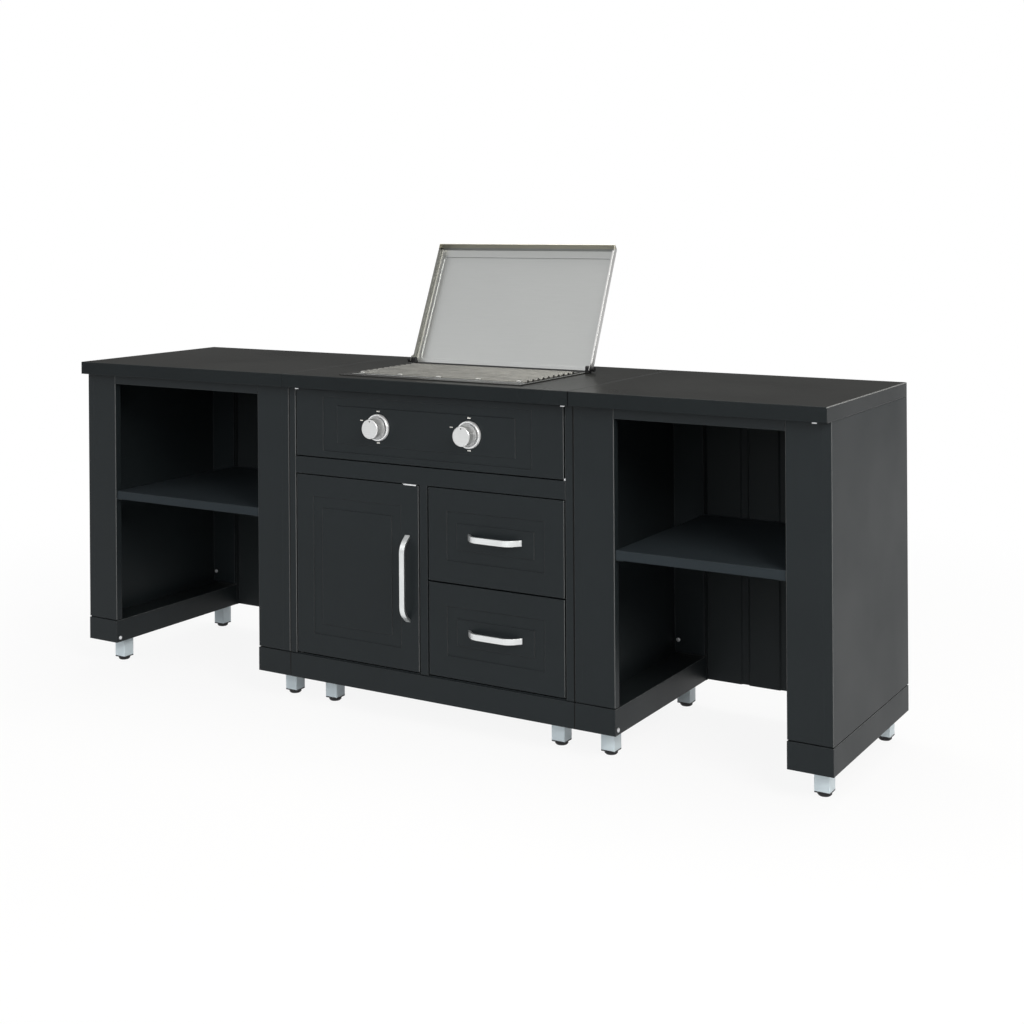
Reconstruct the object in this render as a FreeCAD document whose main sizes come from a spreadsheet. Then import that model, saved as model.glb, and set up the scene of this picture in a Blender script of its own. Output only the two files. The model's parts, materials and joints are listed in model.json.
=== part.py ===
import FreeCAD, Part
import math
import os
import Sketcher

# Outdoor gas griddle station. Two open shelf cabinets stand left and right of a centre cabinet
# with a door, two drawers and a control panel. A drop-in gas griddle with a hinged lid sits in
# the centre worktop. All sizes are millimetres. X runs to the right along the front, Y to the
# back and Z up. The origin is on the floor, under the middle of the whole outer box.

SIZES = {
    # whole station
    "left_width": 775,
    "centre_width": 900,
    "right_width": 665,
    "depth": 584,
    "worktop_height": 914,
    "front_edge": -286,
    # sheet metal
    "skin": 1.5,
    "thin_skin": 1.2,
    # worktops
    "overhang": 28,
    "worktop_fold": 36,
    "worktop_return": 15,
    # levels
    "plinth_bottom": 76,
    "plinth_top": 144,
    "seam": 3,
    "seam_inset": 4,
    "shelf_top": 530,
    "shelf_fold": 24,
    "top_rail_fold": 28,
    # side cabinet walls
    "wall": 112,
    "liner_inset": 22,
    "stile_return": 22,
    "back_stile": 30,
    # centre cabinet front
    "frame_strip": 24,
    "front_gap": 4,
    "front_depth": 18,
    "rail_bottom": 641,
    "rail_top": 687,
    "panel_bottom": 690,
    "panel_top": 875,
    "press_depth": 2,
    # handles
    "handle_width": 15,
    "handle_thick": 6,
    "handle_reach": 29,
    "handle_slope": 25,
    "handle_bend": 44,
    "drawer_handle_length": 162,
    "door_handle_length": 230,
    # legs
    "leg_side": 38,
    "leg_bottom": 12,
    "leg_from_end": 54,
    "leg_from_face": 88,
    "leg_from_back": 24,
    "centre_leg_from_end": 88,
    "centre_leg_from_back": 44,
    "pad_radius": 17,
    "pad_height": 9,
    # knobs
    "knob_spread": 144,
    "knob_level": 783,
    "bezel_radius": 36,
    "knob_radius": 28,
    "knob_front": 40,
    # griddle
    "griddle_width": 576,
    "griddle_front": 48,
    "griddle_back": 400,
    "griddle_ledge": 30,
    "trough_width": 32,
    "rim_height": 3,
    "firebox_floor": 772,
    "plate_level": 911,
    # lid
    "lid_width": 592,
    "lid_length": 355,
    "lid_depth": 21,
    "lid_press": 3,
    "lid_corner": 8,
    "lid_lean": 24,
    "pivot_back": 406,
    "pivot_level": 926,
    # drawers
    "rail_depth": 13,
    "rail_length": 450,
    "drawer_height": 150,
    "drawer_length": 480,
}


class Size:
    """A length that keeps its value together with the spreadsheet expression it comes from."""

    def __init__(self, value, text):
        self.value = float(value)
        self.text = text

    def __add__(self, other):
        return Size(self.value + number(other), "(%s + %s)" % (self.text, written(other)))

    def __radd__(self, other):
        return Size(number(other) + self.value, "(%s + %s)" % (written(other), self.text))

    def __sub__(self, other):
        return Size(self.value - number(other), "(%s - %s)" % (self.text, written(other)))

    def __rsub__(self, other):
        return Size(number(other) - self.value, "(%s - %s)" % (written(other), self.text))

    def __mul__(self, other):
        return Size(self.value * number(other), "(%s * %s)" % (self.text, written(other)))

    def __rmul__(self, other):
        return Size(number(other) * self.value, "(%s * %s)" % (written(other), self.text))

    def __truediv__(self, other):
        return Size(self.value / number(other), "(%s / %s)" % (self.text, written(other)))

    def __neg__(self):
        return Size(-self.value, "(-1 * %s)" % self.text)


def number(value):
    """The plain value of a Size or a number."""
    return value.value if isinstance(value, Size) else float(value)


def written(value):
    """The expression of a Size or a number."""
    return value.text if isinstance(value, Size) else "(%g)" % value


def bind(target, prop, value):
    """Sets a property from a Size or a number, as an expression."""
    target.setExpression(prop, written(value))


doc = FreeCAD.newDocument("griddle_station")
table = doc.addObject("Spreadsheet::Sheet", "Sizes")
for row, (alias, size) in enumerate(SIZES.items(), start=1):
    table.set("A%d" % row, alias)
    table.set("B%d" % row, str(size))
    table.setAlias("B%d" % row, alias)
doc.recompute()


def size_of(alias):
    return Size(SIZES[alias], "Sizes.%s" % alias)


# Main planes of the station, all from the table.
skin = size_of("skin")
thin = size_of("thin_skin")
depth = size_of("depth")
wall = size_of("wall")
strip = size_of("frame_strip")
gap = size_of("front_gap")
left_width = size_of("left_width")
centre_width = size_of("centre_width")
right_width = size_of("right_width")
left_end = -(left_width + centre_width + right_width) / 2
left_seam = left_end + left_width
right_seam = left_seam + centre_width
right_end = right_seam + right_width
middle = left_seam + centre_width / 2
edge = size_of("front_edge")
face = edge + size_of("overhang")
back = edge + depth
plinth_bottom = size_of("plinth_bottom")
plinth_top = size_of("plinth_top")
seam = size_of("seam")
seam_inset = size_of("seam_inset")
worktop_top = size_of("worktop_height")
carcass_top = worktop_top - size_of("worktop_fold")

nodes = []


def finish(thing, name):
    """Names a sub-part and lists it as a node to write out."""
    thing.Label = name
    nodes.append(thing)
    return thing


def new_body(name):
    body = doc.addObject("PartDesign::Body", "body_" + name)
    body.Label = name + "_body"
    return body


def origin_item(body, role):
    return [item for item in body.Origin.OriginFeatures if item.Role == role][0]


# A loop is a closed outline: a list of (u, v) corners, or a round one as ("round", u, v, radius).
# Plane "XY" draws in X and Y at a height, "XZ" in X and Z at a depth, "YZ" in Y and Z at an X.

def draw_corners(sketch, corners):
    first = sketch.GeometryCount
    count = len(corners)
    spots = [FreeCAD.Vector(number(u), number(v), 0) for u, v in corners]
    sides = [Part.LineSegment(spots[i], spots[(i + 1) % count]) for i in range(count)]
    sketch.addGeometry(sides, False)
    joints = []
    for i in range(count):
        joints.append(Sketcher.Constraint("Coincident", first + i, 2, first + (i + 1) % count, 1))
    sketch.addConstraint(joints)
    for i, (u, v) in enumerate(corners):
        pin_point(sketch, first + i, 1, u, v)


def pin_point(sketch, element, end, u, v):
    """Fixes a point of the sketch at (u, v) from the sketch's origin."""
    for kind, value, axis in (("DistanceX", u, -2), ("DistanceY", v, -1)):
        if number(value) == 0:
            sketch.addConstraint(Sketcher.Constraint("PointOnObject", element, end, axis))
            continue
        index = sketch.addConstraint(Sketcher.Constraint(kind, -1, 1, element, end, number(value)))
        if isinstance(value, Size):
            sketch.setExpression("Constraints[%d]" % index, value.text)


def draw_round(sketch, u, v, radius):
    centre = FreeCAD.Vector(number(u), number(v), 0)
    circle = Part.Circle(centre, FreeCAD.Vector(0, 0, 1), number(radius))
    element = sketch.addGeometry(circle, False)
    pin_point(sketch, element, 3, u, v)
    index = sketch.addConstraint(Sketcher.Constraint("Radius", element, number(radius)))
    if isinstance(radius, Size):
        sketch.setExpression("Constraints[%d]" % index, radius.text)


def new_sketch(body, plane, at, loops):
    sketch = body.newObject("Sketcher::SketchObject", "sketch")
    sketch.AttachmentSupport = (origin_item(body, plane + "_Plane"), [""])
    sketch.MapMode = "FlatFace"
    along = -1 * at if plane == "XZ" else at
    bind(sketch, "AttachmentOffset.Base.z", along)
    for loop in loops:
        if loop[0] == "round":
            draw_round(sketch, *loop[1:])
        else:
            draw_corners(sketch, loop)
    return sketch


def pad(body, plane, low, high, *loops):
    """Adds the outline between two planes. The XZ plane faces the front, so it pads forwards."""
    start = high if plane == "XZ" else low
    feature = body.newObject("PartDesign::Pad", "pad")
    feature.Profile = new_sketch(body, plane, start, loops)
    bind(feature, "Length", high - low)
    doc.recompute()
    return feature


def pocket(body, plane, low, high, *loops):
    """Cuts the outline between two planes."""
    before = body.Shape.Volume
    start = low if plane == "XZ" else high
    feature = body.newObject("PartDesign::Pocket", "pocket")
    feature.Profile = new_sketch(body, plane, start, loops)
    bind(feature, "Length", high - low)
    doc.recompute()
    if body.Shape.Volume > before - 0.5:
        raise RuntimeError("a pocket cut nothing in " + body.Label)
    return feature


def turned(body, plane, corners):
    """Revolves an outline of (radius, height) about the body's own Y or Z axis."""
    feature = body.newObject("PartDesign::Revolution", "turning")
    sketch = new_sketch(body, plane, 0, [corners])
    feature.Profile = sketch
    feature.ReferenceAxis = (sketch, ["V_Axis"])
    feature.Angle = 360
    doc.recompute()
    return feature


def fillet(body, radius, wanted):
    """Rounds the edges for which wanted(edge centre, edge direction) is true."""
    names = []
    for i, line in enumerate(body.Shape.Edges, start=1):
        if line.Curve.TypeId != "Part::GeomLine":
            continue
        direction = line.tangentAt(line.FirstParameter)
        if wanted(line.CenterOfMass, direction):
            names.append("Edge%d" % i)
    if not names:
        raise RuntimeError("no edge to round in " + body.Label)
    base = body.Tip
    feature = body.newObject("PartDesign::Fillet", "rounding")
    feature.Base = (base, names)
    bind(feature, "Radius", radius)
    body.Tip = feature
    doc.recompute()
    if not feature.Shape.isValid() or "Invalid" in feature.State:
        raise RuntimeError("a rounding failed in " + body.Label)
    return feature


def near(value, target, slack=0.01):
    return abs(value - number(target)) < slack


def rect(u0, u1, v0, v1):
    return [(u0, v0), (u1, v0), (u1, v1), (u0, v1)]


def place(body, x, y, z):
    for axis, value in (("x", x), ("y", y), ("z", z)):
        bind(body, "Placement.Base." + axis, value)
    doc.recompute()


def group(name, members):
    """Several separate solids of one kind as one node."""
    bundle = doc.addObject("Part::Compound", "group_" + name)
    bundle.Links = members
    doc.recompute()
    return finish(bundle, name)


# Folded trays: worktops and shelves

def tray(name, x0, x1, y0, y1, top, fold, lip, corner):
    """A sheet folded down on all four sides, with a narrow lip turned in at the bottom."""
    body = new_body(name)
    bottom = top - fold
    pad(body, "XY", bottom, top - skin, rect(x0, x1, y0, y1),
        rect(x0 + skin, x1 - skin, y0 + skin, y1 - skin))
    pad(body, "XY", top - skin, top, rect(x0, x1, y0, y1))
    pad(body, "XY", bottom, bottom + skin, rect(x0, x1, y0, y1),
        rect(x0 + lip, x1 - lip, y0 + lip, y1 - lip))

    def rounded(at, way):
        side = near(at.x, x0) or near(at.x, x1)
        upright = abs(way.z) > 0.9
        return (near(at.z, top) and (side or near(at.y, y0))) or (upright and side and near(at.y, y0))

    fillet(body, corner, rounded)
    return body


def worktops():
    lip = size_of("worktop_return")
    fold = size_of("worktop_fold")
    spans = {"left": (left_end, left_seam), "right": (right_seam, right_end)}
    for side, (x0, x1) in spans.items():
        body = tray(side + "_worktop", x0, x1, edge, back, worktop_top, fold, lip, 2)
        finish(body, side + "_worktop")
    body = tray("centre_worktop", left_seam, right_seam, edge, back, worktop_top, fold, lip, 2)
    # cut-out for the griddle, with its edges folded down
    x0, x1, y0, y1 = cutout
    pad(body, "XY", worktop_top - 20, worktop_top - skin,
        rect(x0 - skin, x1 + skin, y0 - skin, y1 + skin), rect(x0, x1, y0, y1))
    pocket(body, "XY", worktop_top - skin - 1, worktop_top, rect(x0, x1, y0, y1))
    finish(body, "centre_worktop")


# Side cabinets

def wall_shell(name, outer, inner):
    """A double-skinned wall: outer skin, front stile with its return, liner and back stile."""
    s = 1 if number(inner) > number(outer) else -1
    liner = size_of("liner_inset")
    stile_back = face + size_of("stile_return")
    back_stile = back - size_of("back_stile")
    body = new_body(name)
    outline = [
        (outer, face),
        (inner, face),
        (inner, stile_back),
        (inner - s * skin, stile_back),
        (inner - s * skin, face + skin),
        (outer + s * (liner + skin), face + skin),
        (outer + s * (liner + skin), back_stile),
        (inner, back_stile),
        (inner, back),
        (outer, back),
    ]
    cavity = [
        (outer + s * skin, face + skin),
        (outer + s * liner, face + skin),
        (outer + s * liner, back_stile + skin),
        (inner - s * skin, back_stile + skin),
        (inner - s * skin, back - skin),
        (outer + s * skin, back - skin),
    ]
    pad(body, "XY", plinth_top, carcass_top, outline, cavity)
    fillet(body, 2.5, lambda at, way: abs(way.z) > 0.9 and near(at.y, face))
    # closed bottom, and a set-back foot that leaves a dark seam above the plinth
    pad(body, "XY", plinth_top, plinth_top + skin, cavity)
    ends = (outer + s * seam_inset, outer + s * (liner + skin))
    low, high = ends if s > 0 else (ends[1], ends[0])
    pad(body, "XY", plinth_top - seam, plinth_top, rect(low, high, face + seam_inset, back - seam_inset),
        rect(low + skin, high - skin, face + seam_inset + skin, back - seam_inset - skin))
    # welded tabs that carry the shelf
    tab_top = size_of("shelf_top") - size_of("shelf_fold")
    tab = 20
    spans = ((face + 4, stile_back), (back_stile - tab, back_stile + 6))
    for y0, y1 in spans:
        x0 = inner - s * skin / 2
        x1 = inner + s * tab
        low, high = (x0, x1) if s > 0 else (x1, x0)
        pad(body, "XY", tab_top - skin, tab_top, rect(low, high, y0, y1))
    # hole for the bolt through the back stile
    pocket(body, "XZ", back_stile - 1, back_stile + skin + 1, ("round", outer + s * bolt_in, bolt_level, 2.6))
    return finish(body, name)


def plinth_box(name, x0, x1, hole_x):
    """A box open at the bottom, under one wall. Its top is the ledge inside the bay."""
    body = new_body(name)
    top = plinth_top - seam
    pad(body, "XY", plinth_bottom, top, rect(x0, x1, face, back))
    fillet(body, 1.2, lambda at, way: near(at.z, top))
    pocket(body, "XY", plinth_bottom - 1, top - skin, rect(x0 + skin, x1 - skin, face + skin, back - skin))
    screw_y, screw_z = plinth_screw
    pocket(body, "YZ", hole_x - 3, hole_x + 3, ("round", screw_y, screw_z, 2.6))
    return body


def bay_back(name, x0, x1, ribs):
    """The back sheet of a bay, with side flanges and pressed upright ribs."""
    front = back - 10
    flange = front - 12
    step = 5
    rib = 26
    pitch = (x1 - x0) / (ribs + 1)
    line = []
    for i in range(ribs):
        low = x0 + (i + 1) * pitch - rib / 2
        high = low + rib
        line += [(low, 0), (low + step, step), (high - step, step), (high, 0)]
    near_side = [(x, front + rise) for x, rise in line]
    far_side = [(x, front + skin + rise) for x, rise in reversed(line)]
    outline = [(x0, flange), (x0 + skin, flange), (x0 + skin, front)]
    outline += near_side
    outline += [(x1 - skin, front), (x1 - skin, flange), (x1, flange), (x1, front + skin)]
    outline += far_side
    outline += [(x0, front + skin)]
    body = new_body(name)
    pad(body, "XY", plinth_bottom, carcass_top, outline)
    return finish(body, name)


def bay_top_rail(name, x0, x1):
    """A channel under the worktop's front edge, between the two stiles."""
    low = carcass_top - size_of("top_rail_fold")
    outline = [
        (face, low),
        (face + 20, low),
        (face + 20, low + skin),
        (face + skin, low + skin),
        (face + skin, carcass_top - skin),
        (face + 30, carcass_top - skin),
        (face + 30, carcass_top),
        (face, carcass_top),
    ]
    body = new_body(name)
    pad(body, "YZ", x0, x1, outline)
    fillet(body, 1.5, lambda at, way: near(at.y, face) and near(at.z, low))
    return finish(body, name)


def side_cabinet(side, x0, x1, ribs):
    bay0 = x0 + wall
    bay1 = x1 - wall
    outer_first = side == "left"
    names = ("outer", "inner") if outer_first else ("inner", "outer")
    wall_shell("%s_%s_wall" % (side, names[0]), x0, bay0)
    wall_shell("%s_%s_wall" % (side, names[1]), x1, bay1)
    group(side + "_plinths", [
        plinth_box(side + "_plinth_a", x0, bay0, bay0),
        plinth_box(side + "_plinth_b", bay1, x1, bay1),
    ])
    bay_back(side + "_back_panel", bay0, bay1, ribs)
    bay_top_rail(side + "_top_rail", bay0, bay1)
    shelf_back = back - size_of("back_stile") - 0.5
    shelf = tray(side + "_shelf", bay0 + 0.5, bay1 - 0.5, face + 4, shelf_back,
                 size_of("shelf_top"), size_of("shelf_fold"), 12, 2)
    finish(shelf, side + "_shelf")
    inset = size_of("leg_from_end")
    legs(side, (x0 + inset, x1 - inset), size_of("leg_from_back"), plinth_top - seam - skin)


# Legs and levelling feet

def legs(side, stations, from_back, top):
    """Four square legs, their end plugs and their levelling feet. The legs end at top."""
    half = size_of("leg_side") / 2
    lows = (face + size_of("leg_from_face"), back - from_back)
    tubes = []
    feet = []
    for x in stations:
        for y in lows:
            tag = "%s_%d" % (side, len(tubes) + 1)
            tubes.append(leg_tube("leg_" + tag, x, y, half, top))
            feet.append(end_plug("plug_" + tag, x, y, half))
            feet.append(levelling_foot("foot_" + tag, x, y))
    group(side + "_legs", tubes)
    group(side + "_feet", feet)


def leg_corner(x, y, half):
    """Picks the four upright corner edges of a leg or of its plug."""
    return lambda at, way: (abs(way.z) > 0.9 and near(abs(at.x - number(x)), half)
                            and near(abs(at.y - number(y)), half))


def leg_tube(name, x, y, half, top):
    """A square tube, fixed under the plinth's or the floor's sheet."""
    body = new_body(name)
    pad(body, "XY", size_of("leg_bottom"), top, rect(x - half, x + half, y - half, y + half),
        rect(x - half + skin, x + half - skin, y - half + skin, y + half - skin))
    fillet(body, 1.2, leg_corner(x, y, half))
    return body


def end_plug(name, x, y, half):
    """A plug pressed into the tube, with a flange under it and a threaded hole for the foot."""
    body = new_body(name)
    pad_top = size_of("pad_height")
    tube = size_of("leg_bottom")
    inner = half - skin
    pad(body, "XY", pad_top, tube, rect(x - half, x + half, y - half, y + half))
    fillet(body, 1.2, leg_corner(x, y, half))
    pad(body, "XY", tube, tube + 16, rect(x - inner, x + inner, y - inner, y + inner))
    pocket(body, "XY", pad_top - 1, tube + 17, ("round", x, y, 5.1))
    return body


def levelling_foot(name, x, y):
    """A round pad on a threaded spindle, turned as one piece."""
    body = new_body(name)
    radius = size_of("pad_radius")
    height = size_of("pad_height")
    outline = [
        (0, 0),
        (radius - 3, 0),
        (radius, 3),
        (radius, height - 1.5),
        (radius - 1.5, height),
        (5, height),
        (5, 40),
        (0, 40),
    ]
    turned(body, "XZ", outline)
    place(body, x, y, 0)
    return body


# Centre cabinet carcass

def centre_side(name, x0, x1):
    """A hollow side panel. Its front edge is the narrow strip beside the door or the drawers."""
    body = new_body(name)
    inside = rect(x0 + skin, x1 - skin, face + skin, back - skin)
    pad(body, "XY", plinth_top, carcass_top, rect(x0, x1, face, back), inside)
    fillet(body, 2, lambda at, way: abs(way.z) > 0.9 and near(at.y, face))
    pad(body, "XY", plinth_top, plinth_top + skin, inside)
    return finish(body, name)


def centre_carcass():
    x0 = left_seam + strip
    x1 = right_seam - strip
    centre_side("centre_left_side", left_seam, x0)
    centre_side("centre_right_side", x1, right_seam)

    # plinth skirt, bent in at the top to carry the floor
    top = plinth_top - seam
    flange = 20
    body = new_body("centre_plinth")
    pad(body, "XY", plinth_bottom, top, rect(left_seam, right_seam, face, back),
        rect(left_seam + skin, right_seam - skin, face + skin, back - skin))
    pad(body, "XY", top - skin, top, rect(left_seam, right_seam, face, back),
        rect(left_seam + flange, right_seam - flange, face + flange, back - flange))
    fillet(body, 1.2, lambda at, way: near(at.z, top) and (near(at.y, face) or near(at.x, left_seam)
                                                           or near(at.x, right_seam)))
    finish(body, "centre_plinth")

    # floor pan, set back all round so that a dark seam shows above the plinth
    body = new_body("centre_floor")
    pan = [left_seam + seam_inset, right_seam - seam_inset, face + seam_inset, back - seam_inset]
    fold = 10
    pad(body, "XY", top, plinth_top - skin, rect(*pan),
        rect(pan[0] + fold, pan[1] - fold, pan[2] + fold, pan[3] - fold))
    pad(body, "XY", plinth_top - skin, plinth_top, rect(*pan))
    finish(body, "centre_floor")

    # back sheet with two rows of ventilation slots
    body = new_body("centre_back_panel")
    rear = back - seam_inset
    pad(body, "XZ", rear - skin, rear, rect(x0, x1, plinth_top, carcass_top))
    slot_rows = (plinth_top + 60, size_of("rail_bottom") + 40)
    pitch = 70
    first = middle - 5 * pitch
    for level in slot_rows:
        slots = [rect(first + i * pitch - 22, first + i * pitch + 22, level, level + 12) for i in range(11)]
        pocket(body, "XZ", rear - skin - 1, rear + 1, *slots)
    finish(body, "centre_back_panel")

    # middle rail above the door and drawers, and the mullion between them
    low = size_of("rail_bottom")
    high = size_of("rail_top")
    body = new_body("face_frame")
    pad(body, "YZ", x0, x1, [
        (face, low),
        (face + 24, low),
        (face + 24, low + skin),
        (face + skin, low + skin),
        (face + skin, high - skin),
        (face + 24, high - skin),
        (face + 24, high),
        (face, high),
    ])
    pad(body, "XY", plinth_top, low, [
        (middle - strip / 2, face),
        (middle + strip / 2, face),
        (middle + strip / 2, face + 12),
        (middle + strip / 2 - skin, face + 12),
        (middle + strip / 2 - skin, face + skin),
        (middle - strip / 2 + skin, face + skin),
        (middle - strip / 2 + skin, face + 12),
        (middle - strip / 2, face + 12),
    ])
    finish(body, "face_frame")

    # hollow divider behind the mullion
    body = new_body("centre_divider")
    half = strip / 2
    front = face + 12
    pad(body, "XY", plinth_top, low, rect(middle - half, middle + half, front, rear - skin),
        rect(middle - half + skin, middle + half - skin, front + skin, rear - 2 * skin))
    finish(body, "centre_divider")

    inset = size_of("centre_leg_from_end")
    stations = (left_seam + inset, right_seam - inset)
    legs("centre", stations, size_of("centre_leg_from_back"), plinth_top - skin)


# Pressed fronts: control panel, door and drawers

def pressed_front(name, x0, x1, z0, z1, inset_x, inset_z, field_x, field_z):
    """A sheet folded back on four sides, with a sunk frame pressed round a raised field."""
    press = size_of("press_depth")
    body = new_body(name)
    rear = face + size_of("front_depth")
    pad(body, "XZ", face, face + skin, rect(x0, x1, z0, z1))
    pad(body, "XZ", face + skin, rear, rect(x0, x1, z0, z1), rect(x0 + skin, x1 - skin, z0 + skin, z1 - skin))
    pad(body, "XZ", face + skin, face + skin + press,
        rect(x0 + inset_x - skin, x1 - inset_x + skin, z0 + inset_z - skin, z1 - inset_z + skin),
        rect(x0 + field_x + skin, x1 - field_x - skin, z0 + field_z + skin, z1 - field_z - skin))
    pocket(body, "XZ", face - 1, face + press,
           rect(x0 + inset_x, x1 - inset_x, z0 + inset_z, z1 - inset_z),
           rect(x0 + field_x, x1 - field_x, z0 + field_z, z1 - field_z))
    fillet(body, 1.5, lambda at, way: near(at.y, face) and (
        near(at.x, x0) or near(at.x, x1) or near(at.z, z0) or near(at.z, z1)))
    return body


def control_panel():
    x0 = left_seam + strip + gap
    x1 = right_seam - strip - gap
    z0 = size_of("panel_bottom")
    z1 = size_of("panel_top")
    body = pressed_front("control_panel", x0, x1, z0, z1, 92, 18, 140, 42)
    spread = size_of("knob_spread")
    level = size_of("knob_level")
    holes = [("round", middle - spread, level, 9), ("round", middle + spread, level, 9)]
    pocket(body, "XZ", face - 1, face + 5, *holes)
    # ears that fix the panel to the side panels
    for at in (z0 + 30, z1 - 50):
        pad(body, "XZ", face + 6, face + size_of("front_depth"), rect(x0 - gap, x0 + skin, at, at + 20),
            rect(x1 - skin, x1 + gap, at, at + 20))
    finish(body, "control_panel")


# Bow handles

def bow_handle(name, upright, low, high, across):
    """A flat bar bent back at both ends. It runs along Z when upright, else along X."""
    width = size_of("handle_width")
    thick = size_of("handle_thick")
    front = face - size_of("handle_reach")
    slope = size_of("handle_slope")
    radius = size_of("handle_bend")
    # the inner line runs one thickness inside the outer one, along the leaning ends too
    reach = size_of("handle_reach")
    lean = math.hypot(number(slope), number(reach)) / number(reach)
    foot = thick * lean
    knee = foot + slope * (reach - thick) / number(reach)
    bow = [
        (face, low),
        (front, low + slope),
        (front, high - slope),
        (face, high),
        (face, high - foot),
        (front + thick, high - knee),
        (front + thick, low + knee),
        (face, low + foot),
    ]
    body = new_body(name)
    if upright:
        pad(body, "YZ", across - width / 2, across + width / 2, bow)
    else:
        pad(body, "XY", across - width / 2, across + width / 2, [(v, u) for u, v in bow])
    axis = "x" if upright else "z"
    fillet(body, radius, lambda at, way: abs(getattr(way, axis)) > 0.9 and near(at.y, front))
    fillet(body, radius - thick, lambda at, way: abs(getattr(way, axis)) > 0.9 and near(at.y, front + thick))
    return finish(body, name)


# Door with its pins and catch

def door():
    x0 = left_seam + strip + gap
    x1 = middle - strip / 2 - gap
    z0 = plinth_top + gap
    z1 = size_of("rail_bottom") - 3
    body = pressed_front("door_panel", x0, x1, z0, z1, 57, 57, 87, 87)
    pin_x, pin_y = hinge_line
    # closed ends of the folded edges, bored for the hinge pins
    for low, high in ((z0, z0 + 3), (z1 - 3, z1)):
        pad(body, "XY", low, high, rect(x0 + 1, x0 + 30, face + 1, face + size_of("front_depth")))
    pocket(body, "XY", z0 - 1, z0 + 4, ("round", pin_x, pin_y, 4.05))
    pocket(body, "XY", z1 - 4, z1 + 1, ("round", pin_x, pin_y, 4.05))
    finish(body, "door_panel")

    length = size_of("door_handle_length")
    level = z0 + (z1 - z0) / 2 - 2
    bow_handle("door_handle", True, level - length / 2, level + length / 2, x1 - 35)

    pins = []
    ceiling = size_of("rail_bottom")
    spans = ((plinth_top, z0 + 12, plinth_top, z0 - 0.5), (z1 - 12, ceiling, z1 + 0.5, ceiling))
    for index, (low, high, flange_low, flange_high) in enumerate(spans):
        body = new_body("hinge_pin_%d" % index)
        pad(body, "XY", low, high, ("round", pin_x, pin_y, 4))
        pad(body, "XY", flange_low, flange_high, ("round", pin_x, pin_y, 6))
        pins.append(body)
    group("door_hinge_pins", pins)

    # magnetic catch under the middle rail and its steel plate on the door
    catch_x = x1 - 30
    rear = face + size_of("front_depth")
    body = new_body("magnetic_catch")
    pad(body, "XY", z1 + 1, size_of("rail_bottom"), rect(catch_x - 24, catch_x + 24, face + 3, rear + 28))
    pad(body, "XY", z1 - 24, z1 + 1, rect(catch_x - 20, catch_x + 20, rear + 3, rear + 15))
    finish(body, "magnetic_catch")
    body = new_body("catch_plate")
    pad(body, "XZ", rear, rear + 2.5, rect(catch_x - 18, catch_x + 18, z1 - 26, z1 - 1))
    pad(body, "XZ", face + skin, rear, rect(catch_x - 6, catch_x + 6, z1 - 8, z1 - skin))
    finish(body, "catch_plate")


# Drawers on three-member slides

def slide_profile(web, s, level, half, reach, sheet):
    """A channel seen from the front: a web at x = web and two flanges that reach along s."""
    tip = web + s * reach
    inner = web + s * sheet
    return [
        (web, level - half),
        (tip, level - half),
        (tip, level - half + sheet),
        (inner, level - half + sheet),
        (inner, level + half - sheet),
        (tip, level + half - sheet),
        (tip, level + half),
        (web, level + half),
    ]


def slides(level, bay0, bay1, y0):
    """Three nested members on each side: fixed to the carcass, running between, on the drawer."""
    length = size_of("rail_length")
    reach = size_of("rail_depth")
    members = {"fixed": [], "mid": [], "inner": []}
    for index, (web, s) in enumerate(((bay0, 1), (bay1, -1))):
        tag = "%d_%d" % (round(number(level)), index)
        body = new_body("fixed_rail_" + tag)
        pad(body, "XZ", y0, y0 + length, slide_profile(web, s, level, 23, reach - 2.5, 1.4))
        members["fixed"].append(body)
        body = new_body("mid_rail_" + tag)
        start = web + s * 1.7
        pad(body, "XZ", y0 + 2, y0 + length - 10, slide_profile(start, s, level, 21.3, reach - 4.2, 1.4))
        members["mid"].append(body)
        body = new_body("inner_rail_" + tag)
        start = web + s * reach
        pad(body, "XZ", y0 + 2, y0 + length - 10, slide_profile(start, -s, level, 19.6, reach - 6, 1.4))
        members["inner"].append(body)
    return members


def drawer(name, z0, z1, bay0, bay1):
    x0 = middle + strip / 2 + gap
    x1 = right_seam - strip - gap
    rear = face + size_of("front_depth")
    body = pressed_front(name + "_front", x0, x1, z0, z1, 57, 57, 87, 87)
    finish(body, name + "_front")

    length = size_of("drawer_handle_length")
    centre = (x0 + x1) / 2
    bow_handle(name + "_handle", False, centre - length / 2, centre + length / 2, (z0 + z1) / 2 + 3)

    # open box, folded from one sheet
    reach = size_of("rail_depth")
    box0 = bay0 + reach
    box1 = bay1 - reach
    low = z0 + 30
    high = low + size_of("drawer_height")
    start = face + skin + size_of("press_depth")
    end = rear + size_of("drawer_length")
    body = new_body(name + "_box")
    pad(body, "XY", low, low + thin, rect(box0, box1, start, end))
    pad(body, "XY", low + thin, high, rect(box0, box1, start, end),
        rect(box0 + thin, box1 - thin, start + thin, end - thin))
    pad(body, "XY", high - thin, high, rect(box0, box1, start, end),
        rect(box0 + 8, box1 - 8, start + 8, end - 8))
    finish(body, name + "_box")

    members = slides(low + 62, bay0, bay1, rear + 6)
    group(name + "_mid_rails", members["mid"])
    group(name + "_inner_rails", members["inner"])
    return members["fixed"]


def drawers():
    bay0 = middle + strip / 2
    bay1 = right_seam - strip
    floor = plinth_top + gap
    ceiling = size_of("rail_bottom") - 3
    split = (floor + ceiling) / 2
    fixed = drawer("lower_drawer", floor, split - gap / 2, bay0, bay1)
    fixed += drawer("upper_drawer", split + gap / 2, ceiling, bay0, bay1)
    group("drawer_fixed_rails", fixed)


# Knobs, bezels and gas train

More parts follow.
